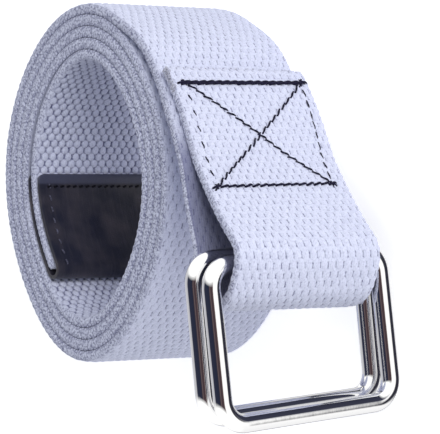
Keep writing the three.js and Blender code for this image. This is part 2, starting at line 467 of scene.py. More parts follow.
@dataclass(frozen=True)
class Course:
    """Middle line of the webbing seen from above, with the sizes of the part's source."""

    width: float = 38.0
    thickness: float = 2.25
    turn_gap: float = 0.42
    ply_gap: float = 0.3
    half_width_x: float = 22.5
    half_width_y: float = 28.5
    whole_turns: int = 4
    start_angle: float = 231.5
    leave_angle: float = 47.0
    lean: float = -0.55
    egg: float = 0.35
    squareness: float = 0.5
    looseness: float = 1.9
    loose_share: float = 0.07
    tip_blend: float = 0.24
    run_length: float = 32.0
    run_angle: float = 42.8
    fold_length: float = 24.0
    end_overhang: float = 1.0
    leather_thickness: float = 1.1
    leather_length: float = 23.8
    fit_gap: float = 0.36
    wire: float = 4.1
    side_gap: float = 1.9
    bar_clearance: float = 0.5
    bar_reach: float = 24.6
    bar_offset: float = 0.1
    bar_line_angle: float = -5.5
    loop_slack: float = 5.0
    loop_lead: float = 4.0
    lift: float = 7.0
    lift_length: float = 52.0
    crest_row: int = 7
    rows: tuple[tuple[str, float, float], ...] = (
        ("back", 166, 0.22), ("back", 212, 0.42), ("back", 252, 1.12), ("front", 252, 1.45),
        ("front", 282, 0.85), ("front", 314, 0.27), ("front", 345, 0.16), ("front", 35, 0.22),
        ("front", 88, 0.42),
    )
    step: float = 0.1
    smoothing: float = 1.0

    @property
    def turns(self) -> float:
        """Turns of the coil."""
        return self.whole_turns + (self.start_angle - self.leave_angle) / 360.0

    @property
    def leather_turns(self) -> float:
        """Turns that the leather tip covers."""
        return self.leather_length / (math.pi * (self.half_width_x + self.half_width_y))

    def coil(self, turns: np.ndarray) -> np.ndarray:
        """Points of the coil.

        Args:
            turns: how many turns from the inner end each point is.

        Returns:
            One point (x, y) for each.
        """
        angle = np.radians(self.start_angle - 360.0 * turns)
        shape = (self.lean * np.sin(2 * angle) + self.egg * np.sin(3 * angle)
                 + self.squareness * np.cos(4 * angle))
        inset = self.leather_thickness + 2 * self.fit_gap - self.turn_gap
        inset = inset * (1.0 - smooth_share((turns - self.leather_turns) / self.tip_blend))
        loose = self.looseness * smooth_share((turns - self.turns) / self.loose_share + 1.0)
        growth = (self.thickness + self.turn_gap) * turns + shape - inset + loose
        return np.stack([(self.half_width_x + growth) * np.cos(angle),
                         (self.half_width_y + growth) * np.sin(angle)], axis=1)

    def run(self) -> tuple[np.ndarray, np.ndarray, np.ndarray, np.ndarray]:
        """Start and end of the straight run, its direction, and the direction away from the coil."""
        start = self.coil(np.array([self.turns]))[0]
        along = heading(self.run_angle)
        out = np.array([-along[1], along[0]])
        return start, start + along * self.run_length, along, out

    def bars(self) -> dict[str, np.ndarray]:
        """Centres of the two ring bars that the loop holds."""
        _, end, along, out = self.run()
        middle = end + along * self.bar_reach + out * self.bar_offset
        half = polar(self.bar_line_angle) * (self.wire + self.side_gap) / 2
        return {"back": middle - half, "front": middle + half}

    def loop(self) -> tuple[np.ndarray, np.ndarray, np.ndarray]:
        """Points of the loop round the bars.

        Returns:
            The loop's points, and the points beside the back bar and over the front bar.
        """
        _, end, along, out = self.run()
        bars = self.bars()
        radius = self.wire / 2 + self.bar_clearance + self.thickness / 2
        beside = [bars[bar] + polar(angle) * (radius + slack * self.loop_slack)
                  for bar, angle, slack in self.rows]
        fold = end + out * (self.thickness + self.ply_gap)
        knots = np.array([end - along * self.loop_lead, end, *beside, fold, fold - along * self.loop_lead])
        points = []
        for index in range(1, len(knots) - 2):
            before, here, there, after = knots[index - 1 : index + 3]
            for share in np.linspace(0.0, 1.0, 40, endpoint=False):
                points.append(0.5 * (2 * here + (there - before) * share
                                     + (2 * before - 5 * here + 4 * there - after) * share ** 2
                                     + (3 * here - before - 3 * there + after) * share ** 3))
        return np.array([*points, fold]), beside[0], beside[self.crest_row]


@dataclass
class Line:
    """An even line through points, with a normal to the left of its direction at each."""

    points: np.ndarray
    step: float
    normals: np.ndarray = field(init=False)

    def __post_init__(self) -> None:
        """Works out the normals."""
        along = np.gradient(self.points, axis=0)
        along /= np.linalg.norm(along, axis=1)[:, None]
        self.normals = np.stack([-along[:, 1], along[:, 0]], axis=1)

    @property
    def length(self) -> float:
        """The line's length."""
        return self.step * (len(self.points) - 1)

    def at(self, lengths: np.ndarray, values: np.ndarray) -> np.ndarray:
        """Values of the line between its points.

        Args:
            lengths: distances along the line.
            values: one number or one row of numbers for each of the line's points.

        Returns:
            The values at those distances.
        """
        places = np.arange(len(self.points)) * self.step
        if values.ndim == 1:
            return np.interp(lengths, places, values)
        return np.stack([np.interp(lengths, places, column) for column in values.T], axis=1)


def even_line(points: np.ndarray, step: float, smoothing: float) -> Line:
    """Evens out a line's spacing and rounds off its small kinks.

    Args:
        points: the line's points, unevenly spaced.
        step: the spacing wanted.
        smoothing: radius over which it is averaged.

    Returns:
        The even line.
    """
    for _ in range(2):
        lengths = np.r_[0.0, np.cumsum(np.linalg.norm(np.diff(points, axis=0), axis=1))]
        even = np.linspace(0.0, lengths[-1], int(round(lengths[-1] / step)) + 1)
        points = np.stack([np.interp(even, lengths, column) for column in points.T], axis=1)
        reach = int(round(3 * smoothing / step))
        weights = np.exp(-0.5 * (np.arange(-reach, reach + 1) * step / smoothing) ** 2)
        weights /= weights.sum()
        ends = [2 * points[0] - points[reach:0:-1], points, 2 * points[-1] - points[-2 : -reach - 2 : -1]]
        padded = np.concatenate(ends)
        points = np.stack([np.convolve(column, weights, "valid") for column in padded.T], axis=1)
    spacing = float(np.linalg.norm(np.diff(points, axis=0), axis=1).mean())
    return Line(points, spacing)


@dataclass
class Strap:
    """The webbing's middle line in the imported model's frame, with its height over the floor."""

    course: Course
    shift: np.ndarray
    line: Line = field(init=False)
    lifts: np.ndarray = field(init=False)
    run_end: float = field(init=False)

    def __post_init__(self) -> None:
        """Lays the whole line and finds where the run ends on it."""
        course = self.course
        start, end, along, out = course.run()
        loop, beside, crest = course.loop()
        coil = course.coil(np.linspace(0.0, course.turns, 1600))
        run = start + (end - start) * np.linspace(0.0, 1.0, 60)[1:-1, None]
        fold = end + out * (course.thickness + course.ply_gap)
        reach = course.fold_length + course.end_overhang
        back = fold - along * reach * np.linspace(0.0, 1.0, 60)[1:, None]
        self.line = even_line(np.concatenate([coil, run, loop, back]) + self.shift, course.step,
                              course.smoothing)
        self.run_end, first, last = (self._length_at(point + self.shift) for point in (end, beside, crest))
        lengths = np.arange(len(self.line.points)) * self.line.step
        away = np.maximum(np.maximum(first - lengths, lengths - last), 0.0)
        self.lifts = course.lift * (1.0 - smooth_share(away / course.lift_length))

    def _length_at(self, target: np.ndarray) -> float:
        """Distance along the line of the point nearest to target."""
        gaps = np.linalg.norm(self.line.points - target, axis=1)
        return float(gaps.argmin() * self.line.step)

    def turn_length(self, turns: float) -> float:
        """Distance along the line after so many turns."""
        shares = np.linspace(0.0, turns, 1200)
        return float(np.linalg.norm(np.diff(self.course.coil(shares), axis=0), axis=1).sum())

    def face_point(self, from_cut: float, height: float, outwards: float) -> tuple[Vector, Vector]:
        """A place on the outer side of the folded-back end.

        Args:
            from_cut: distance from the nominal cut end.
            height: distance from the lower edge.
            outwards: distance from the webbing's middle.

        Returns:
            The point in metres and the surface's normal there.
        """
        length = np.array([self.line.length - self.course.end_overhang - from_cut])
        point = self.line.at(length, self.line.points)[0]
        normal = -self.line.at(length, self.line.normals)[0]
        lift = float(self.line.at(length, self.lifts)[0])
        spot = point + normal * outwards
        return Vector((spot[0], spot[1], lift + height)) * MM, Vector((normal[0], normal[1], 0.0))


# Meshes


def new_object(name: str, points: list, edges: list, faces: list) -> bpy.types.Object:
    """Makes a mesh object of plain lists and links it to the scene."""
    mesh = bpy.data.meshes.new(name)
    mesh.from_pydata(points, edges, faces)
    made = bpy.data.objects.new(name, mesh)
    bpy.context.scene.collection.objects.link(made)
    return made


def shade_smooth(mesh: bpy.types.Mesh) -> None:
    """Sets every face of a mesh to smooth shading."""
    mesh.polygons.foreach_set("use_smooth", np.ones(len(mesh.polygons), bool))


@dataclass(frozen=True)
class EdgeForm:
    """How a strap's rounded edges curve, and how the weave's relief fades towards them."""

    relief: float = 0.55
    fade: float = 1.6
    across_power: float = 0.65
    rise_power: float = 0.6
    weight_power: float = 0.5


EDGE = EdgeForm()


@dataclass(frozen=True)
class Profile:
    """Section of a strap: points round it, first up its left side and then down its right side."""

    across: np.ndarray
    share: np.ndarray
    inset: np.ndarray
    normal: np.ndarray
    relief: np.ndarray
    edge: np.ndarray
    edge_place: np.ndarray

    @staticmethod
    def made(half: float, width: float, rim: float, rim_rise: float, left: int, right: int,
             relief: tuple[float, float], edge_steps: int = 8, swell: float = 0.0) -> "Profile":
        """Makes a section.

        Args:
            half: half the thickness under the relief.
            width: nominal height of the section.
            rim: height of each rounded edge.
            rim_rise: how far the rounded edges stay inside the nominal height.
            left: points up the left side.
            right: points down the right side.
            relief: how strongly each side carries the weave's relief, left and right.
            edge_steps: points round each edge.
            swell: extra half thickness of a side that carries no relief.

        Returns:
            The section.
        """
        rows = []
        for side, count, strength in ((1, left, relief[0]), (-1, right, relief[1])):
            offset = side * (half + swell * (1.0 - strength))
            shares = np.linspace(0.0, 1.0, count)
            if side < 0:
                shares = shares[::-1]
            for share in shares:
                inset = rim * (1.0 - 2.0 * share)
                near = min(share, 1.0 - share) * (width - 2 * rim)
                fade = EDGE.relief + (1.0 - EDGE.relief) * float(smooth_share(np.array(near / EDGE.fade)))
                rows.append((offset, share, inset, side, 0.0, strength * fade, 0.0, 0.0))
            for index in range(1, edge_steps):
                turn = math.pi * index / edge_steps
                cosine, sine = math.cos(turn), math.sin(turn)
                far = -side * (half + swell * (1.0 - (relief[1] if side > 0 else relief[0])))
                passed = (1.0 - math.copysign(abs(cosine) ** EDGE.across_power, cosine)) / 2
                level = offset + (far - offset) * passed
                rise = (rim - rim_rise) * sine ** EDGE.rise_power
                share = 1.0 if side > 0 else 0.0
                inset = (rise - rim) * side
                rows.append((level, share, inset, side * cosine, side * sine, 0.0,
                             sine ** EDGE.weight_power, level))
        table = np.array(rows)
        return Profile(table[:, 0], table[:, 1], table[:, 2], table[:, 3:5], table[:, 5],
                       table[:, 6], table[:, 7])


@dataclass
class Ribbon:
    """A strap as rows of one section along a line, before its relief is added."""

    name: str
    points: np.ndarray
    normals: np.ndarray
    low: np.ndarray
    high: np.ndarray
    lengths: np.ndarray
    profile: Profile
    squeeze: np.ndarray | None = None
    # Share of painted shade for each row, laid on the left side: the inside of the loop.
    soiled: np.ndarray | None = None

    def build(self) -> bpy.types.Object:
        """Makes the closed mesh, its weave map and the attributes that the relief reads."""
        profile = self.profile
        rows, count = len(self.points), len(profile.across)
        squeeze = np.ones(rows) if self.squeeze is None else self.squeeze
        across = profile.across[None, :] * squeeze[:, None]
        level = (self.low[:, None] + (self.high - self.low)[:, None] * profile.share[None, :]
                 + profile.inset[None, :])
        flat = self.points[:, None, :] + self.normals[:, None, :] * across[:, :, None]
        spots = np.concatenate([flat, level[:, :, None]], axis=2).reshape(-1, 3) * MM
        outward = np.concatenate([
            self.normals[:, None, :] * profile.normal[None, :, :1],
            np.broadcast_to(profile.normal[None, :, 1:], (rows, count, 1)),
        ], axis=2).reshape(-1, 3)
        here = (np.arange(rows - 1)[:, None] * count + np.arange(count)[None, :]).reshape(-1)
        side = np.tile(np.arange(count), rows - 1)
        other = here - side + (side + 1) % count
        quads = np.stack([here, other, other + count, here + count], axis=1)
        first, last = list(range(count))[::-1], list(range((rows - 1) * count, rows * count))
        piece = new_object(self.name, spots.tolist(), [], quads.tolist() + [first, last])
        mesh = piece.data
        height = profile.share * (self.high - self.low).mean() + profile.inset
        place = np.concatenate([[0.0], np.cumsum(np.hypot(np.diff(profile.across), np.diff(height)))])
        end = place[-1] + 1.0
        uv = np.empty((len(quads), 4, 2))
        uv[:, 0, 0] = uv[:, 3, 0] = place[side]
        uv[:, 1, 0] = uv[:, 2, 0] = np.where(side + 1 < count, place[(side + 1) % count], end)
        uv[:, 0, 1] = uv[:, 1, 1] = np.repeat(self.lengths[:-1], count)
        uv[:, 2, 1] = uv[:, 3, 1] = np.repeat(self.lengths[1:], count)
        caps = np.stack([np.tile(place, 2), np.repeat(self.lengths[[0, -1]], count)], axis=1)
        caps[:count] = caps[:count][::-1]
        layer = mesh.uv_layers.new(name="weave")
        layer.data.foreach_set("uv", np.concatenate([uv.reshape(-1, 2), caps]).reshape(-1))
        self._store(mesh, "along", np.repeat(self.lengths, count))
        self._store(mesh, "up", np.tile(height, rows))
        self._store(mesh, "relief", np.tile(profile.relief, rows))
        self._store(mesh, "edge", np.tile(profile.edge, rows))
        self._store(mesh, "edge_place", np.tile(profile.edge_place, rows))
        soiled = np.zeros(rows) if self.soiled is None else self.soiled
        # Painted shade on the left side only, the inside of the loop.
        self._store(mesh, "soiled", np.outer(soiled, profile.normal[:, 0] > 0.5).reshape(-1))
        attribute = mesh.attributes.new("outward", "FLOAT_VECTOR", "POINT")
        attribute.data.foreach_set("vector", outward.reshape(-1))
        shade_smooth(mesh)
        return piece

    @staticmethod
    def _store(mesh: bpy.types.Mesh, name: str, values: np.ndarray) -> None:
        """Stores one number for each vertex."""
        attribute = mesh.attributes.new(name, "FLOAT", "POINT")
        attribute.data.foreach_set("value", values.astype(np.float32))


def new_tree(name: str, inputs: dict[str, float | int | bpy.types.ID],
             ) -> tuple[Graph, bpy.types.Node, dict[str, str]]:
    """Starts a geometry tree with named inputs.

    Args:
        name: the tree's name.
        inputs: name and first value of each input.

    Returns:
        The graph, its input node, and the identifier of each named input.
    """
    tree = bpy.data.node_groups.new(name, "GeometryNodeTree")
    tree.interface.new_socket("Geometry", in_out="INPUT", socket_type="NodeSocketGeometry")
    tree.interface.new_socket("Geometry", in_out="OUTPUT", socket_type="NodeSocketGeometry")
    kinds = {int: "NodeSocketInt", float: "NodeSocketFloat"}
    names = {}
    for label, value in inputs.items():
        kind = kinds.get(type(value))
        if kind is None:
            kind = "NodeSocketMaterial" if isinstance(value, bpy.types.Material) else "NodeSocketObject"
        names[label] = tree.interface.new_socket(label, in_out="INPUT", socket_type=kind).identifier
    graph = Graph(tree)
    return graph, graph.node("NodeGroupInput"), names


def end_tree(graph: Graph, geometry: Socket, material: Socket) -> None:
    """Ends a geometry tree: makes the instances real and sets their material."""
    real = graph.node("GeometryNodeRealizeInstances", {"Geometry": geometry})
    dressed = graph.node("GeometryNodeSetMaterial", {"Geometry": real.outputs[0], "Material": material})
    graph.node("NodeGroupOutput", {"Geometry": dressed.outputs[0]})


def grown(piece: bpy.types.Object, graph: Graph, names: dict[str, str],
          values: dict[str, float | int | bpy.types.ID]) -> bpy.types.Object:
    """Runs a geometry tree on a piece and keeps the result as its plain mesh.

    Args:
        piece: the piece that carries the tree's input.
        graph: the tree's graph.
        names: identifier of each named input.
        values: value of each named input.

    Returns:
        The piece with its new mesh and no modifier.
    """
    modifier = piece.modifiers.new("growth", "NODES")
    modifier.node_group = graph.tree
    for label, value in values.items():
        modifier[names[label]] = value
    graph_now = bpy.context.evaluated_depsgraph_get()
    made = bpy.data.meshes.new_from_object(piece.evaluated_get(graph_now))
    piece.modifiers.remove(modifier)
    old = piece.data
    made.name = piece.name
    piece.data = made
    bpy.data.meshes.remove(old)
    return piece


def finish_piece(piece: bpy.types.Object, body: str, nodes: tuple[str, ...] = ()) -> None:
    """Gives a finished piece its body and the solids that it stands for."""
    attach(piece, body)
    if nodes:
        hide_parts(*nodes)
    LOG.info("%s: %d faces on %s", piece.name, len(piece.data.polygons), body)


# Weave


@dataclass(frozen=True)
class Weave:
    """Relief of one face of the cloth and of its edges."""

    face: ClothFace
    edge: BeadSizes = SELVAGE
    edge_height: float = 0.30
    unevenness: float = 0.30
    drift: float = 0.55
    drift_scale: float = 0.5
    seed: int = 7

    def grow(self, piece: bpy.types.Object, material: bpy.types.Material) -> bpy.types.Object:
        """Adds the relief to a piece of webbing and stores its place in the cloth for the material.

        Args:
            piece: the smooth length of webbing.
            material: the webbing's material.

        Returns:
            The piece with its relief.
        """
        labels = ("Bead Width", "Bead Length", "Half Width", "Half Length", "Slant")
        values = dict(zip(labels, self.face.beads.row()))
        values.update(zip((f"Edge {label}" for label in labels), self.edge.row()))
        values.update({"Height": self.face.height, "Edge Height": self.edge_height, "Drift": self.drift,
                       "Unevenness": self.unevenness, "Seed": self.seed, "Material": material})
        graph, given, names = new_tree("weave_relief", values)
        value = {label: given.outputs[label] for label in ("Geometry", *values)}

        def read(name: str, kind: str = "FLOAT") -> Socket:
            """Reads a stored attribute."""
            return graph.node("GeometryNodeInputNamedAttribute", {"Name": name}, data_type=kind).outputs[0]

        def dome(across: object, place: object, row: list) -> Socket:
            """Round height from 0 to 1 of the beads at a place."""
            left = graph.math("SUBTRACT", 1.0, bead_hollow(graph, across, place, row))
            return graph.math("SQRT", graph.math("MAXIMUM", left, 0.0))

        along, up, relief, edge, place = map(read, ("along", "up", "relief", "edge", "edge_place"))
        spot = graph.node("ShaderNodeCombineXYZ", {0: up, 1: along, 2: place}).outputs[0]
        noise = graph.node("ShaderNodeTexNoise", {
            "Vector": spot, "Scale": self.drift_scale, "Detail": 2.0, "W": value["Seed"],
        }, noise_dimensions="4D").outputs[0]
        swing = graph.math("SUBTRACT", noise, 0.5)
        wavy = graph.math("MULTIPLY_ADD", swing, value["Drift"], along)
        face = dome(up, wavy, [value[label] for label in labels])
        rim = dome(place, wavy, [value[f"Edge {label}"] for label in labels])
        rough = graph.math("MULTIPLY_ADD", swing, value["Unevenness"], 1.0)
        tall = graph.product(graph.product(face, relief), value["Height"])
        side = graph.product(graph.product(rim, edge), value["Edge Height"])
        rise = graph.product(graph.math("ADD", tall, side), rough)
        offset = graph.scale(read("outward", "FLOAT_VECTOR"), graph.product(rise, MM))
        moved = graph.node("GeometryNodeSetPosition", {"Geometry": value["Geometry"], "Offset": offset})
        cloth = graph.node("ShaderNodeCombineXYZ", {0: up, 1: wavy, 2: place}).outputs[0]
        kept = graph.node("GeometryNodeStoreNamedAttribute", {
            "Geometry": moved.outputs[0], "Name": "cloth", "Value": cloth,
        }, data_type="FLOAT_VECTOR", domain="POINT")
        end_tree(graph, kept.outputs[0], value["Material"])
        return grown(piece, graph, names, values)


@dataclass
class Webbing:
    """The webbing, cut into lengths that meet where another ply covers the joint."""

    strap: Strap
    finish: WebbingFinish = field(default_factory=WebbingFinish)
    core: float = 0.84
    rim: float = 0.66
    rim_rise: float = 0.30
    across_step: float = 0.34
    along_step: float = 0.36
    coarse: int = 9
    swell: float = 0.38
    inner_turns: float = 1.12
    outer_turns: float = 1.06
    end_lead: float = 12.0
    nose: float = 0.9
    nose_squeeze: float = 0.35

    def build(self) -> list[bpy.types.Object]:
        """Makes the lengths of webbing with their relief and material."""
        strap = self.strap
        dense = int(round((strap.course.width - 2 * self.rim) / self.across_step)) + 1
        inner = strap.turn_length(self.inner_turns)
        outer = strap.turn_length(strap.course.turns - self.outer_turns)
        split = strap.run_end - self.end_lead
        outside = self.finish.material(OUTER_FACE), Weave(OUTER_FACE)
        inside = self.finish.material(INNER_FACE), Weave(INNER_FACE)
        cuts = (
            ("webbing_inner_turn", 0.0, inner, self.coarse, dense, (0.0, 1.0), inside),
            ("webbing_middle_turns", inner, outer, self.coarse, self.coarse, (0.0, 0.0), inside),
            ("webbing_outer_turn", outer, split, dense, self.coarse, (1.0, 0.0), outside),
            ("webbing_sewn_end", split, strap.line.length, dense // 2, dense, (1.0, 1.0), outside),
        )
        pieces = []
        for name, start, end, left, right, relief, (material, weave) in cuts:
            profile = Profile.made(self.core, strap.course.width, self.rim, self.rim_rise, left, right,
                                   relief, swell=self.swell)
            piece = self._length(name, start, end, profile)
            pieces.append(weave.grow(piece, material))
        return pieces

    def _length(self, name: str, start: float, end: float, profile: Profile) -> bpy.types.Object:
        """Builds one length of webbing between two distances along the line."""
        line, strap = self.strap.line, self.strap
        steps = int(round((end - start) / self.along_step))
        lengths = np.linspace(start, end, steps + 1)
        low = line.at(lengths, strap.lifts)
        free = np.minimum(lengths, line.length - lengths)
        squeeze = 1.0 - self.nose_squeeze * (1.0 - smooth_share(free / self.nose))
        # Painted shade inside the loop: fades in before the run's end and out towards the folded-back end.
        loop_start, loop_end = strap.run_end, line.length - strap.course.fold_length
        soiled = smooth_share((lengths - loop_start + self.end_lead) / self.end_lead)
        soiled = soiled * smooth_share((loop_end - lengths) / self.end_lead)
        return Ribbon(name, line.at(lengths, line.points), line.at(lengths, line.normals), low,
                      low + strap.course.width, lengths, profile, squeeze, soiled).build()

    def dress(self, pieces: list[bpy.types.Object]) -> None:
        """Puts the lengths on the belt's body."""
        for piece in pieces:
            finish_piece(piece, "belt", ("webbing_strap",))


# Sewing


class SeamStyle(Enum):
    """How a sewn line looks: pitch, stitch length, thickness, slant and how deep it sinks."""

    HEAVY = (2.1, 4.6, 0.58, 1.5, -0.10)
    WAVY = (2.0, 3.0, 0.58, 8.0, -0.04)
    DIAGONAL = (2.0, 2.8, 0.46, 11.0, -0.04)
    DIAGONAL_LONG = (2.7, 3.6, 0.46, 9.0, -0.04)
    DASHED = (4.4, 2.6, 0.40, 3.0, 0.10)
    FINE = (3.0, 2.9, 0.34, 2.0, 0.04)
    LEATHER = (1.75, 1.35, 0.50, 4.0, 0.02)
    LEATHER_FINE = (2.45, 1.6, 0.44, 3.0, 0.04)

    def __init__(self, pitch: float, length: float, thickness: float, slant: float, sink: float) -> None:
        """Keeps the style's sizes in millimetres and its slant in degrees."""
        self.pitch = pitch
        self.length = length
        self.thickness = thickness
        self.slant = slant
        self.sink = sink


@dataclass(frozen=True)
class StitchForm:
    """Shape of one stitch, in shares of its thread's thickness."""

    sides: int = 8
    steps: int = 12
    dive: float = 1.6
    dive_power: int = 5
    sway: float = 0.16
    taper: float = 0.35
    taper_power: int = 4
    ply_bulge: float = 0.14
    twist: float = 3.4
    flatness: float = 0.72


@dataclass
class Seam:
    """One sewn line: points on a surface with the surface's normals."""

    name: str
    points: list[Vector]
    normals: list[Vector]
    style: SeamStyle
    seed: int
    looseness: float = 0.10

    def build(self, material: bpy.types.Material) -> bpy.types.Object:
        """Sets a stitch at every pitch along the line."""
        edges = [(index, index + 1) for index in range(len(self.points) - 1)]
        piece = new_object(self.name, [tuple(point) for point in self.points], edges, [])
        attribute = piece.data.attributes.new("facing", "FLOAT_VECTOR", "POINT")
        attribute.data.foreach_set("vector", [value for normal in self.normals for value in normal])
        template = self._stitch(StitchForm())
        values = {"Stitch": template, "Pitch": self.style.pitch * MM,
                  "Slant": math.radians(self.style.slant), "Looseness": self.looseness,
                  "Seed": self.seed, "Material": material}
        graph, given, names = new_tree("sewn_line", values)
        curve = graph.node("GeometryNodeMeshToCurve", {"Mesh": given.outputs["Geometry"]})
        even = graph.node("GeometryNodeResampleCurve", {
            "Curve": curve.outputs[0], "Length": given.outputs["Pitch"],
        }, mode="LENGTH")
        facing = graph.node("GeometryNodeInputNamedAttribute", {"Name": "facing"}, data_type="FLOAT_VECTOR")
        tangent = graph.node("GeometryNodeInputTangent")
        turn = graph.node("FunctionNodeAxesToRotation", {"Primary Axis": facing.outputs[0],
                                                        "Secondary Axis": tangent.outputs[0]},
                          primary_axis="Z", secondary_axis="X")
        loose = graph.node("FunctionNodeRandomValue", {"Seed": given.outputs["Seed"]}, data_type="FLOAT")
        for socket, sign in ((loose.inputs[2], -1.0), (loose.inputs[3], 1.0)):
            graph.tree.links.new(graph.product(given.outputs["Looseness"], sign), socket)
        leaning = graph.math("ADD", given.outputs["Slant"], loose.outputs[1])
        slant = graph.node("ShaderNodeCombineXYZ", {2: leaning})
        slant = graph.node("FunctionNodeEulerToRotation", {0: slant.outputs[0]})
        turned = graph.node("FunctionNodeRotateRotation", {0: turn.outputs[0], 1: slant.outputs[0]},
                            rotation_space="LOCAL")
        stitch = graph.node("GeometryNodeObjectInfo", {"Object": given.outputs["Stitch"]})
        placed = graph.node("GeometryNodeInstanceOnPoints", {
            "Points": even.outputs[0], "Instance": stitch.outputs["Geometry"], "Rotation": turned.outputs[0],
        })
        end_tree(graph, placed.outputs[0], given.outputs["Material"])
        grown(piece, graph, names, values)
        bpy.data.objects.remove(template)
        shade_smooth(piece.data)
        return piece

    def _stitch(self, form: StitchForm) -> bpy.types.Object:
        """One stitch along X: a bowed, two-ply thread whose ends dive into the cloth."""
        style = self.style
        sides, steps = form.sides, form.steps
        points, faces = [], []
        for step in range(steps + 1):
            share = step / steps * 2.0 - 1.0
            rise = style.thickness * (0.5 - form.dive * abs(share) ** form.dive_power) - style.sink
            sway = style.thickness * form.sway * math.sin(math.pi * share)
            radius = style.thickness / 2 * (1.0 - form.taper * abs(share) ** form.taper_power)
            for side in range(sides):
                turn = math.tau * side / sides
                thick = radius * (1.0 + form.ply_bulge * math.cos(2 * (turn - form.twist * share)))
                points.append((share * style.length / 2 * MM, (sway + thick * math.cos(turn)) * MM,
                               (rise + form.flatness * thick * math.sin(turn)) * MM))
        for step in range(steps):
            for side in range(sides):
                here, other = step * sides + side, step * sides + (side + 1) % sides
                faces.append((here, other, other + sides, here + sides))
        faces.append(tuple(range(sides))[::-1])
        faces.append(tuple(range(steps * sides, (steps + 1) * sides)))
        return new_object("stitch", points, [], faces)


@dataclass
class BoxSeam:
    """The sewn box with its two diagonals on the folded-back end.

    Corners are (distance from the cut end, height over the lower edge).
    """

    strap: Strap
    finish: ThreadFinish = ThreadFinish("navy_thread", (0.014, 0.012, 0.040, 1.0))
    top_near: tuple[float, float] = (3.62, 34.72)
    top_far: tuple[float, float] = (2.82, 2.56)
    bottom_near: tuple[float, float] = (34.68, 35.68)
    bottom_far: tuple[float, float] = (33.71, 4.44)
    crossing: tuple[float, float] = (18.43, 19.22)
    heavy_offset: float = 0.34
    heavy_inset: float = 0.7
    surface: float = 1.16
    stations: int = 60
    first_seed: int = 11

    def build(self) -> list[bpy.types.Object]:
        """Makes the box's four lines and its diagonals as one piece each."""
        offset = self.heavy_offset
        second = [(along + offset, height + sign * self.heavy_inset)
                  for (along, height), sign in ((self.top_near, -1), (self.top_far, 1))]
        lines = (
            ("seam_top", (self.top_near, self.top_far), SeamStyle.HEAVY),
            ("seam_top_second", second, SeamStyle.HEAVY),
            ("seam_bottom", (self.bottom_far, self.bottom_near), SeamStyle.WAVY),
            ("seam_near", (self.top_near, self.bottom_near), SeamStyle.DASHED),
            ("seam_far", (self.top_far, self.bottom_far), SeamStyle.FINE),
            ("seam_diagonal_down", (self.top_near, self.crossing, self.bottom_far), SeamStyle.DIAGONAL),
            ("seam_diagonal_up", (self.bottom_near, self.crossing, self.top_far), SeamStyle.DIAGONAL_LONG),
        )
        material = self.finish.material()
        pieces = []
        for seed, (name, corners, style) in enumerate(lines):
            points, normals = [], []
            stations = np.linspace(0.0, len(corners) - 1.0, self.stations)
            for along, height in zip(*(np.interp(stations, range(len(corners)), column)
                                       for column in zip(*corners))):
                point, normal = self.strap.face_point(float(along), float(height), self.surface)
                points.append(point)
                normals.append(normal)
            pieces.append(Seam(name, points, normals, style, self.first_seed + seed).build(material))
        return pieces

    def dress(self, pieces: list[bpy.types.Object]) -> None:
        """Puts the seams on the belt's body."""
        for piece in pieces:
            finish_piece(piece, "belt")


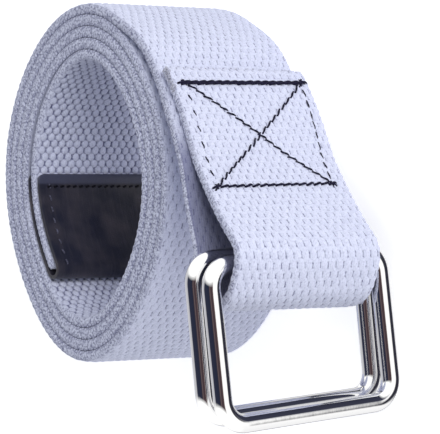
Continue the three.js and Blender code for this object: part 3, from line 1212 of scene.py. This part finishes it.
@dataclass
class FrayedEnd:
    """Short curly yarn ends that stand out of the webbing's cut end and its near corner."""

    strap: Strap
    finish: ThreadFinish = ThreadFinish("loose_yarn", (0.74, 0.75, 0.88, 1.0), 0.95)
    radius: float = 0.10
    curl_height: float = 0.55
    curl_reach: float = 0.28
    turns: float = 1.3
    spread: float = 0.5
    smallest: float = 0.5
    largest: float = 1.15
    cut_count: int = 110
    corner_count: int = 60
    corner_length: float = 6.5
    seed: int = 5

    def build(self) -> list[bpy.types.Object]:
        """Scatters the curls over narrow strips along the cut end and beside its near corner."""
        width = self.strap.course.width
        lead = -self.strap.course.end_overhang
        end_line = [(lead, height, 0.2) for height in np.linspace(1.0, width - 0.6, 40)]
        edge_line = [(lead + along, width - 0.1, 0.75) for along in np.linspace(0.2, self.corner_length, 12)]
        return [self._strip("frayed_cut_end", end_line, self.cut_count),
                self._strip("frayed_corner", edge_line, self.corner_count)]

    def _strip(self, name: str, places: list[tuple[float, float, float]], count: int) -> bpy.types.Object:
        """Sets curls at random along a line.

        Args:
            name: the piece's name.
            places: distance from the cut end, height and distance from the webbing's middle.
            count: how many curls.

        Returns:
            The piece.
        """
        points = [tuple(self.strap.face_point(*place)[0]) for place in places]
        piece = new_object(name, points, [(index, index + 1) for index in range(len(points) - 1)], [])
        template = self._curl()
        values = {"Curl": template, "Count": count, "Spread": self.spread * MM, "Smallest": self.smallest,
                  "Largest": self.largest, "Seed": self.seed, "Material": self.finish.material()}
        graph, given, names = new_tree("loose_yarn_ends", values)
        curve = graph.node("GeometryNodeMeshToCurve", {"Mesh": given.outputs["Geometry"]})
        even = graph.node("GeometryNodeResampleCurve", {
            "Curve": curve.outputs[0], "Count": given.outputs["Count"]})

        def chance(low: object, high: object, kind: str, start: int) -> Socket:
            """A random number or vector between two bounds."""
            seed = graph.math("ADD", given.outputs["Seed"], start)
            made = graph.node("FunctionNodeRandomValue", {"Seed": seed}, data_type=kind)
            low_socket, high_socket, out = (0, 1, 0) if kind == "FLOAT_VECTOR" else (2, 3, 1)
            for number, value in ((low_socket, low), (high_socket, high)):
                if isinstance(value, bpy.types.NodeSocket):
                    graph.tree.links.new(value, made.inputs[number])
                else:
                    made.inputs[number].default_value = value
            return made.outputs[out]

        way = chance((-1.0, -1.0, -1.0), (1.0, 1.0, 1.0), "FLOAT_VECTOR", 1)
        moved = graph.node("GeometryNodeSetPosition", {
            "Geometry": even.outputs[0], "Offset": graph.scale(way, given.outputs["Spread"])})
        spin = chance((0.0, 0.0, 0.0), (math.tau, math.tau, math.tau), "FLOAT_VECTOR", 2)
        size = chance(given.outputs["Smallest"], given.outputs["Largest"], "FLOAT", 3)
        curl = graph.node("GeometryNodeObjectInfo", {"Object": given.outputs["Curl"]})
        placed = graph.node("GeometryNodeInstanceOnPoints", {
            "Points": moved.outputs[0], "Instance": curl.outputs["Geometry"],
            "Rotation": spin, "Scale": size})
        end_tree(graph, placed.outputs[0], given.outputs["Material"])
        grown(piece, graph, names, values)
        bpy.data.objects.remove(template)
        shade_smooth(piece.data)
        return piece

    def _curl(self) -> bpy.types.Object:
        """One short helix of yarn."""
        sides, steps = 5, 9
        points, faces = [], []
        for step in range(steps + 1):
            share = step / steps
            turn = math.tau * self.turns * share
            rise = self.curl_height * (share - 0.5)
            radius = self.radius * (1.0 - 0.5 * share ** 3)
            for side in range(sides):
                angle = math.tau * side / sides
                out = self.curl_reach + radius * math.cos(angle)
                points.append((out * math.cos(turn) * MM, out * math.sin(turn) * MM,
                               (rise + radius * math.sin(angle)) * MM))
        for step in range(steps):
            for side in range(sides):
                here, other = step * sides + side, step * sides + (side + 1) % sides
                faces.append((here, here + sides, other + sides, other))
        faces.append(tuple(range(sides)))
        faces.append(tuple(range(steps * sides, (steps + 1) * sides))[::-1])
        return new_object("curl", points, [], faces)

    def dress(self, pieces: list[bpy.types.Object]) -> None:
        """Puts the loose yarn on the belt's body."""
        for piece in pieces:
            finish_piece(piece, "belt")


# Leather tip


@dataclass
class LeatherTip:
    """Leather folded over the inner end of the webbing and sewn near its open edges."""

    strap: Strap
    finish: LeatherFinish = field(default_factory=LeatherFinish)
    # The side rows use a lighter copy of the tip's thread, painted as if lit; the end rows use the dark
    # copy.
    thread: ThreadFinish = ThreadFinish("grey_thread", (0.13, 0.13, 0.19, 1.0), 0.5)
    dark_thread: ThreadFinish = ThreadFinish("black_thread", (0.004, 0.004, 0.010, 1.0), 0.5)
    half: float = 0.42
    rim: float = 0.35
    corner: float = 1.5
    edge_inset: float = 0.15
    nose: float = 0.8
    nose_squeeze: float = 0.5
    along_step: float = 0.45
    side_points: int = 48
    edge_steps: int = 6
    stitch_inset: float = 3.0
    stations: int = 50
    first_seed: int = 31

    def _centre(self) -> tuple[Line, float, float]:
        """Middle line of the leather: its inner leg from the open edge, the fold, its outer leg.

        Returns:
            The line, and the distances along it where the fold starts and ends.
        """
        course, line = self.strap.course, self.strap.line
        offset = course.thickness / 2 + course.fit_gap + course.leather_thickness / 2
        lengths = np.linspace(0.0, course.leather_length, 120)
        points, normals = line.at(lengths, line.points), line.at(lengths, line.normals)
        back = points[0] - points[1]
        back /= np.linalg.norm(back)
        centre = points[0] + back * course.fit_gap
        turns = np.linspace(0.0, math.pi, 40)[1:-1, None]
        fold = centre - normals[0] * offset * np.cos(turns) + back * offset * np.sin(turns)
        inner, outer = (points - normals * offset)[::-1], points + normals * offset
        made = even_line(np.concatenate([inner, fold, outer]), 0.1, 0.3)
        start = float(np.linalg.norm(np.diff(inner, axis=0), axis=1).sum())
        return made, start, start + math.pi * offset

    def build(self) -> list[bpy.types.Object]:
        """Makes the leather and its stitch rows."""
        line, fold_start, fold_end = self._centre()
        width = self.strap.course.width
        lengths = np.linspace(0.0, line.length, int(line.length / self.along_step))
        free = np.minimum(lengths, line.length - lengths)
        round_off = np.clip(1.0 - free / self.corner, 0.0, 1.0)
        cut = self.corner * (1.0 - np.sqrt(1.0 - round_off ** 2))
        low, high = self.edge_inset + cut, width - self.edge_inset - cut
        squeeze = 1.0 - self.nose_squeeze * (1.0 - smooth_share(free / self.nose))
        profile = Profile.made(self.half, width, self.rim, 0.0, self.side_points, self.side_points,
                               (0.0, 0.0), self.edge_steps)
        points = line.at(lengths, line.points)
        normals = line.at(lengths, line.normals)
        leather = Ribbon("leather_fold", points, normals, low, high, lengths, profile, squeeze).build()
        leather.data.materials.append(self.finish.material())
        pieces = [leather]
        thread, dark = self.thread.material(), self.dark_thread.material()
        inset = self.stitch_inset
        rows = (
            ("tip_seam_end_inner", (inset, width - inset), (inset, inset), SeamStyle.LEATHER, dark),
            ("tip_seam_end_outer", (line.length - inset, width - inset), (line.length - inset, inset),
             SeamStyle.LEATHER, dark),
            ("tip_seam_near_inner", (inset, width - inset), (fold_start, width - inset),
             SeamStyle.LEATHER_FINE, thread),
            ("tip_seam_far_inner", (inset, inset), (fold_start, inset), SeamStyle.LEATHER_FINE, thread),
            ("tip_seam_near_outer", (fold_end, width - inset), (line.length - inset, width - inset),
             SeamStyle.LEATHER_FINE, thread),
        )
        for seed, (name, start, end, style, material) in enumerate(rows):
            shares = np.linspace(0.0, 1.0, self.stations)
            along = start[0] + (end[0] - start[0]) * shares
            heights = start[1] + (end[1] - start[1]) * shares
            spots = line.at(along, line.points)
            facing = line.at(along, line.normals)
            spots = spots + facing * self.half
            places = [Vector((x, y, z)) * MM for (x, y), z in zip(spots, heights)]
            normals = [Vector((x, y, 0.0)) for x, y in facing]
            pieces.append(Seam(name, places, normals, style, self.first_seed + seed).build(material))
        return pieces

    def dress(self, pieces: list[bpy.types.Object]) -> None:
        """Puts the leather and its seams on the belt's body."""
        for index, piece in enumerate(pieces):
            finish_piece(piece, "belt", ("leather_tip",) if index == 0 else ())


# Rings


@dataclass
class WireRing:
    """A ring of round wire: a rectangle with rounded corners, held by one of its long bars."""

    node: str
    body: str
    joint: dict
    angle: float
    wire: float = 4.1
    inside_length: float = 40.8
    inside_height: float = 29.1
    corner: float = 5.2
    tilt: float = 4.1
    sides: int = 40
    corner_steps: int = 20
    bar_steps: int = 24

    def _outline(self) -> np.ndarray:
        """Middle line of the wire in the ring's own plane."""
        half, height = (self.inside_length + self.wire) / 2, self.inside_height + self.wire
        corners = ((half, 0.0, -90.0), (half, height, 0.0), (-half, height, 90.0), (-half, 0.0, 180.0))
        points = []
        for x, y, start in corners:
            level = self.corner if y == 0.0 else y - self.corner
            centre = np.array([x - math.copysign(self.corner, x), level])
            for share in np.linspace(0.0, 1.0, self.corner_steps):
                points.append(centre + polar(start + 90.0 * share) * self.corner)
        points = np.array(points)
        filled = []
        for here, there in zip(points, np.roll(points, -1, axis=0)):
            count = self.bar_steps if np.linalg.norm(there - here) > self.corner else 1
            filled.extend(here + (there - here) * share for share in np.arange(count) / count)
        return np.array(filled)

    def build(self, material: bpy.types.Material) -> bpy.types.Object:
        """Makes the ring in its place."""
        outline = self._outline()
        along = np.roll(outline, -1, axis=0) - np.roll(outline, 1, axis=0)
        along /= np.linalg.norm(along, axis=1)[:, None]
        turn = math.tau * np.arange(self.sides) / self.sides
        ray = np.stack([np.cos(turn), np.sin(turn)], axis=1) * self.wire / 2
        sideways = np.stack([-along[:, 1], along[:, 0]], axis=1)
        flat = outline[:, None, :] + sideways[:, None, :] * ray[None, :, :1]
        level = np.broadcast_to(ray[None, :, 1:], (*flat.shape[:2], 1))
        local = np.concatenate([flat, level], axis=2).reshape(-1, 3) * MM
        up = Vector(self.joint["axis"]).normalized()
        away = heading(self.angle)
        lean = math.radians(self.tilt)
        out = Vector((away[0] * math.cos(lean), away[1] * math.cos(lean), -math.sin(lean)))
        basis = Matrix((up, out, up.cross(out))).transposed()
        spots = local @ np.array(basis).T + np.array(self.joint["pos_m"])
        count = len(outline)
        row, side = np.meshgrid(np.arange(count), np.arange(self.sides), indexing="ij")
        next_row, other = (row + 1) % count, (side + 1) % self.sides
        quads = np.stack([row * self.sides + side, row * self.sides + other,
                          next_row * self.sides + other, next_row * self.sides + side], axis=2)
        piece = new_object(self.node + "_wire", spots.tolist(), [], quads.reshape(-1, 4).tolist())
        shade_smooth(piece.data)
        piece.data.materials.append(material)
        return piece

    def dress(self, piece: bpy.types.Object) -> None:
        """Puts the ring on its own body."""
        finish_piece(piece, self.body, (self.node,))


# Studio


@dataclass
class Studio:
    """Pale floor, soft light and the camera."""

    shift: np.ndarray
    camera_place: tuple[float, float, float] = (498.2, 31.6, 357.5)
    camera_right: tuple[float, float, float] = (0.58195, 0.03627, -0.81242)
    camera_up: tuple[float, float, float] = (-0.07328, 0.99728, -0.00797)
    camera_back: tuple[float, float, float] = (0.80992, 0.06417, 0.58303)
    focal_pixels: float = 2577.4
    frame_pixels: float = 440.0
    sensor: float = 36.0
    floor_size: float = 6.0
    floor_level: float = -0.0001
    floor_glow: float = 0.50
    floor_tints: tuple[Colour, Colour] = ((0.94, 0.94, 0.95, 1.0), (0.96, 0.96, 0.97, 1.0))
    sky_tint: Colour = (0.90, 0.93, 1.0, 1.0)
    sky_level: float = 0.48
    lamps: tuple[tuple[str, tuple[float, float, float], float, float], ...] = (
        ("key", (0.95, 0.55, 0.42), 0.5, 5.8),
        ("top", (0.10, 0.10, 1.10), 0.8, 2.0),
    )
    lamp_target: tuple[float, float, float] = (0.0, 0.0, 0.02)
    sideways_range: Range = (0.22, 0.42)
    below_range: Range = (-0.30, -0.48)
    screen_beside: Colour = (1.15, 1.15, 1.13, 1.0)
    screens_over: tuple[tuple[float, tuple[float, float, float]], ...] = (
        (-180.0, (0.70, 0.70, 0.73)), (-106.0, (0.80, 0.80, 0.82)), (-98.0, (0.03, 0.03, 0.045)),
        (-42.0, (0.035, 0.035, 0.05)), (-36.0, (1.15, 1.14, 1.12)), (14.0, (1.15, 1.14, 1.12)),
        (20.0, (0.10, 0.06, 0.06)), (44.0, (0.055, 0.040, 0.050)), (52.0, (0.16, 0.11, 0.11)),
        (60.0, (0.045, 0.038, 0.050)), (70.0, (0.022, 0.026, 0.050)), (124.0, (0.030, 0.034, 0.060)),
        (132.0, (0.50, 0.50, 0.53)), (180.0, (0.70, 0.70, 0.73)),
    )
    screens_round: tuple[tuple[float, tuple[float, float, float]], ...] = (
        (-180.0, (0.55, 0.55, 0.57)), (-135.0, (0.42, 0.42, 0.44)), (-120.0, (0.95, 0.95, 0.95)),
        (6.0, (1.15, 1.14, 1.12)), (20.0, (0.70, 0.70, 0.75)), (32.0, (0.045, 0.048, 0.075)),
        (112.0, (0.030, 0.032, 0.055)), (122.0, (0.80, 0.80, 0.80)), (180.0, (0.60, 0.60, 0.62)),
    )

    def camera(self) -> None:
        """Sets the camera at the photo's angle."""
        data = bpy.data.cameras.new("camera")
        data.sensor_fit = "HORIZONTAL"
        data.sensor_width = self.sensor
        data.lens = self.focal_pixels / self.frame_pixels * self.sensor
        data.clip_start, data.clip_end = 0.01, 20.0
        camera = bpy.data.objects.new("camera", data)
        axes = Matrix((self.camera_right, self.camera_up, self.camera_back)).transposed()
        place = Vector(self.camera_place) + Vector((self.shift[0], self.shift[1], 0.0))
        camera.matrix_world = Matrix.Translation(place * MM) @ axes.to_4x4()
        bpy.context.scene.collection.objects.link(camera)
        bpy.context.scene.camera = camera

    def floor(self) -> None:
        """Lays the pale floor, lit a little from within like a photographer's light table."""
        size, level = self.floor_size, self.floor_level
        corners = [(-size, -size, level), (size, -size, level), (size, size, level), (-size, size, level)]
        floor = new_object("floor", corners, [], [(0, 1, 2, 3)])
        material, graph, shader = new_shader("pale_floor")
        place = graph.node("ShaderNodeTexCoord").outputs["Object"]
        tint = graph.mix(graph.noise(place, 3.0, 2.0), *self.floor_tints)
        graph.tree.links.new(tint, shader.inputs["Base Color"])
        set_inputs(shader, {"Roughness": 0.9, "Specular IOR Level": 0.0,
                            "Emission Color": (1.0, 1.0, 1.0, 1.0), "Emission Strength": self.floor_glow})
        floor.data.materials.append(material)
        floor.visible_glossy = False

    def lights(self) -> None:
        """Hangs the soft lamps."""
        bpy.context.scene.view_settings.view_transform = "Standard"
        target = Vector(self.lamp_target)
        for name, place, size, power in self.lamps:
            data = bpy.data.lights.new(name, "AREA")
            data.shape, data.size, data.energy = "SQUARE", size, power
            lamp = bpy.data.objects.new(name, data)
            lamp.location = place
            lamp.rotation_mode = "QUATERNION"
            lamp.rotation_quaternion = (target - Vector(place)).to_track_quat("-Z", "Y")
            lamp.visible_glossy = False
            bpy.context.scene.collection.objects.link(lamp)

    def sky(self) -> None:
        """Sets the even sky, and the banded studio of pale and dark screens that the chrome mirrors."""
        world = bpy.data.worlds.new("studio")
        world.use_nodes = True
        graph = Graph(world.node_tree)
        direction = graph.node("ShaderNodeTexCoord").outputs["Generated"]
        x, y, z = graph.node("ShaderNodeSeparateXYZ", {0: direction}).outputs
        over = self._bands(graph, z, x, self.screens_over)
        round_about = self._bands(graph, y, x, self.screens_round)
        sideways = graph.ramp(graph.math("ABSOLUTE", y), self.sideways_range)
        below = graph.ramp(z, self.below_range)
        beside = graph.mix(below, self.screen_beside, round_about)
        screens = graph.mix(sideways, over, beside)
        mirrored = graph.node("ShaderNodeBackground", {"Color": screens, "Strength": 1.0})
        spread = graph.node("ShaderNodeBackground", {"Color": self.sky_tint, "Strength": self.sky_level})
        glossy = graph.node("ShaderNodeLightPath").outputs["Is Glossy Ray"]
        both = graph.node("ShaderNodeMixShader", {0: glossy, 1: spread.outputs[0], 2: mirrored.outputs[0]})
        output = next(node for node in world.node_tree.nodes if node.bl_idname == "ShaderNodeOutputWorld")
        graph.tree.links.new(both.outputs[0], output.inputs["Surface"])
        bpy.context.scene.world = world

    @staticmethod
    def _bands(graph: Graph, rise: Socket, run: Socket,
               screens: tuple) -> Socket:
        """Colours in bands round a circle.

        Args:
            graph: the world's graph.
            rise: the direction's part along the circle's second axis.
            run: the direction's part along its first axis.
            screens: an angle in degrees from -180 to 180 and a colour for each stop.

        Returns:
            The socket that carries the colour.
        """
        share = graph.math("MULTIPLY_ADD", graph.math("ARCTAN2", rise, run), 1.0 / math.tau, 0.5)
        bands = graph.node("ShaderNodeValToRGB", {0: share})
        stops = bands.color_ramp.elements
        while len(stops) > 1:
            stops.remove(stops[-1])
        for index, (degrees, tint) in enumerate(screens):
            place = degrees / 360.0 + 0.5
            stop = stops[0] if index == 0 else stops.new(place)
            stop.position = place
            stop.color = (*tint, 1.0)
        return bands.outputs[0]


RING_ANGLES = (("ring_front", "front_ring", 8.0), ("ring_back", "back_ring", 7.0))


def main() -> None:
    """Builds every piece in order."""
    logging.basicConfig(level=logging.INFO, format="%(name)s %(message)s")
    course = Course()
    joints = {joint["child"]: joint for joint in frame["joints"]}
    front = np.array(joints["front_ring"]["pos_m"][:2]) / MM
    shift = front - course.bars()["front"]
    strap = Strap(course, shift)
    studio = Studio(shift)
    studio.camera()
    studio.floor()
    studio.lights()
    studio.sky()
    for maker in (Webbing(strap), BoxSeam(strap), FrayedEnd(strap), LeatherTip(strap)):
        maker.dress(maker.build())
    chrome = ChromeFinish().material()
    for node, body, angle in RING_ANGLES:
        ring = WireRing(node, body, joints[body], angle)
        ring.dress(ring.build(chrome))


if __name__ == "__main__":
    main()
